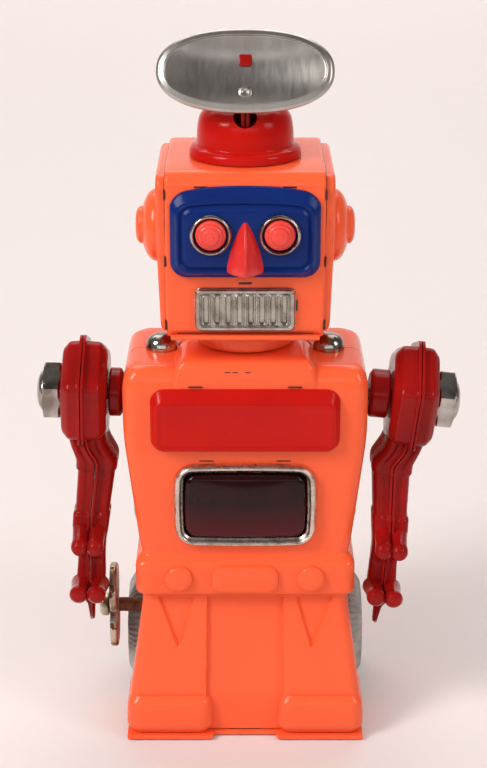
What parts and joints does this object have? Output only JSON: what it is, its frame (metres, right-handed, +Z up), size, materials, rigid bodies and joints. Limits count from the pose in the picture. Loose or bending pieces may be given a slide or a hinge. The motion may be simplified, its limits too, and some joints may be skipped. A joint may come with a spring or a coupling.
{
  "type": "wind-up tin robot",
  "caption": "Pressed-tin clockwork robot with a turning radar dish, swinging claw arms, a side key and drive wheels.",
  "frame": {"origin": "middle of the bounding box's underside, on the floor", "axes": "+Z up, -Y the robot's front, +X the robot's left"},
  "size_m": [0.1283, 0.065, 0.2162],
  "materials": {
    "air_cylinder_left": "stamped bare metal",
    "air_cylinder_right": "stamped bare metal",
    "antenna_post": "glossy moulded red plastic",
    "antenna_shaft": "plain steel",
    "arm_bolt_left": "plain steel",
    "arm_bolt_right": "plain steel",
    "arm_inner_left": "glossy moulded red plastic",
    "arm_inner_right": "glossy moulded red plastic",
    "arm_outer_left": "glossy moulded red plastic",
    "arm_outer_right": "glossy moulded red plastic",
    "arm_spool_left": "glossy moulded red plastic",
    "arm_spool_right": "glossy moulded red plastic",
    "axle_pinion": "plain brass",
    "base_plate": "glossy coral-orange enamel on tin",
    "chest_panel": "glossy red enamel on tin",
    "drive_axle": "plain steel",
    "ear_left": "glossy coral-orange enamel on tin",
    "ear_right": "glossy coral-orange enamel on tin",
    "eye_lens_left": "glossy moulded red plastic",
    "eye_lens_right": "glossy moulded red plastic",
    "eye_ring_left": "bright plating",
    "eye_ring_right": "bright plating",
    "face_mask": "glossy deep blue enamel on tin",
    "flint_holder": "plain brass",
    "frame_plate_left": "plain steel",
    "frame_plate_right": "plain steel",
    "front_shell": "glossy coral-orange enamel on tin",
    "great_wheel": "plain brass",
    "head_cap": "glossy red enamel on tin",
    "head_side_left": "glossy coral-orange enamel on tin",
    "head_side_right": "glossy coral-orange enamel on tin",
    "head_wrap": "glossy coral-orange enamel on tin",
    "hex_nut_left": "bright plating",
    "hex_nut_right": "bright plating",
    "idle_gear": "plain brass",
    "idle_pinion": "plain steel",
    "key_arbor": "plain steel",
    "key_hub": "plain brass",
    "key_plate": "satin nickel plating",
    "mainspring": "plain steel",
    "mouth_grille": "stamped bare metal",
    "neck_disc": "glossy coral-orange enamel on tin",
    "nose": "glossy moulded red plastic",
    "pilot_bracket": "plain steel",
    "pilot_wheel": "grey rubber",
    "radar_dish": "satin nickel plating",
    "ratchet_wheel": "plain brass",
    "rear_shell": "glossy coral-orange enamel on tin",
    "shoulder_dome_left": "bright plating",
    "shoulder_dome_right": "bright plating",
    "spark_arbor": "plain steel",
    "spark_wheel": "plain steel",
    "tyre_left": "grey rubber",
    "tyre_right": "grey rubber",
    "wheel_hub_left": "glossy moulded red plastic",
    "wheel_hub_right": "glossy moulded red plastic",
    "window_bezel": "satin nickel plating",
    "window_lens": "clear dark red plastic"
  },
  "bodies": {
    "casing": {"air_cylinder_left": "air_cylinder_left", "air_cylinder_right": "air_cylinder_right", "base_plate": "base_plate", "chest_panel": "chest_panel", "ear_left": "ear_left", "ear_right": "ear_right", "eye_lens_left": "eye_lens_left", "eye_lens_right": "eye_lens_right", "eye_ring_left": "eye_ring_left", "eye_ring_right": "eye_ring_right", "face_mask": "face_mask", "flint_holder": "flint_holder", "frame_plate_left": "frame_plate_left", "frame_plate_right": "frame_plate_right", "front_shell": "front_shell", "head_cap": "head_cap", "head_side_left": "head_side_left", "head_side_right": "head_side_right", "head_wrap": "head_wrap", "mainspring": "mainspring", "mouth_grille": "mouth_grille", "neck_disc": "neck_disc", "nose": "nose", "pilot_bracket": "pilot_bracket", "rear_shell": "rear_shell", "shoulder_dome_left": "shoulder_dome_left", "shoulder_dome_right": "shoulder_dome_right", "window_bezel": "window_bezel", "window_lens": "window_lens"},
    "key": {"key_arbor": "key_arbor", "key_plate": "key_plate", "key_hub": "key_hub", "ratchet_wheel": "ratchet_wheel"},
    "great": {"great_wheel": "great_wheel"},
    "drive": {"drive_axle": "drive_axle", "axle_pinion": "axle_pinion", "tyre_left": "tyre_left", "tyre_right": "tyre_right", "wheel_hub_left": "wheel_hub_left", "wheel_hub_right": "wheel_hub_right"},
    "idle": {"idle_gear": "idle_gear", "idle_pinion": "idle_pinion"},
    "spark": {"spark_arbor": "spark_arbor", "spark_wheel": "spark_wheel"},
    "antenna": {"antenna_shaft": "antenna_shaft", "antenna_post": "antenna_post", "radar_dish": "radar_dish"},
    "pilot": {"pilot_wheel": "pilot_wheel"},
    "arm_left": {"arm_inner_left": "arm_inner_left", "arm_outer_left": "arm_outer_left", "arm_spool_left": "arm_spool_left", "arm_bolt_left": "arm_bolt_left", "hex_nut_left": "hex_nut_left"},
    "arm_right": {"arm_inner_right": "arm_inner_right", "arm_outer_right": "arm_outer_right", "arm_spool_right": "arm_spool_right", "arm_bolt_right": "arm_bolt_right", "hex_nut_right": "hex_nut_right"}
  },
  "joints": [
    {"name": "drive_turn", "type": "hinge", "parent": "casing", "child": "drive", "pos_m": [0, 0.014, 0.0185], "axis": [1, 0, 0], "continuous": true},
    {"name": "key_turn", "type": "hinge", "parent": "casing", "child": "key", "pos_m": [0, -0.002, 0.0335], "axis": [1, 0, 0], "continuous": true},
    {"name": "great_turn", "type": "hinge", "parent": "casing", "child": "great", "pos_m": [0, -0.002, 0.0335], "axis": [1, 0, 0], "continuous": true},
    {"name": "idle_turn", "type": "hinge", "parent": "casing", "child": "idle", "pos_m": [0, -0.001, 0.05541], "axis": [1, 0, 0], "continuous": true},
    {"name": "spark_turn", "type": "hinge", "parent": "casing", "child": "spark", "pos_m": [0, -0.0105, 0.07093], "axis": [1, 0, 0], "continuous": true},
    {"name": "antenna_turn", "type": "hinge", "parent": "casing", "child": "antenna", "pos_m": [0, -0.0105, 0.2], "axis": [0, 0, 1], "continuous": true},
    {"name": "pilot_turn", "type": "hinge", "parent": "casing", "child": "pilot", "pos_m": [0, -0.018, 0.006], "axis": [1, 0, 0], "continuous": true},
    {"name": "arm_left_swing", "type": "hinge", "parent": "casing", "child": "arm_left", "pos_m": [0.0365, -0.002, 0.1055], "axis": [-0.9945, 0, 0.1045], "range_deg": [-40, 170]},
    {"name": "arm_right_swing", "type": "hinge", "parent": "casing", "child": "arm_right", "pos_m": [-0.0365, -0.002, 0.1055], "axis": [-0.9997, 0, 0.0262], "range_deg": [0, 170]}
  ],
  "couplings": [
    {"joint": "great_turn", "follows": "drive_turn", "ratio": -0.28571},
    {"joint": "idle_turn", "follows": "drive_turn", "ratio": 1},
    {"joint": "spark_turn", "follows": "drive_turn", "ratio": -3.3333},
    {"joint": "antenna_turn", "follows": "drive_turn", "ratio": -2.0833}
  ]
}
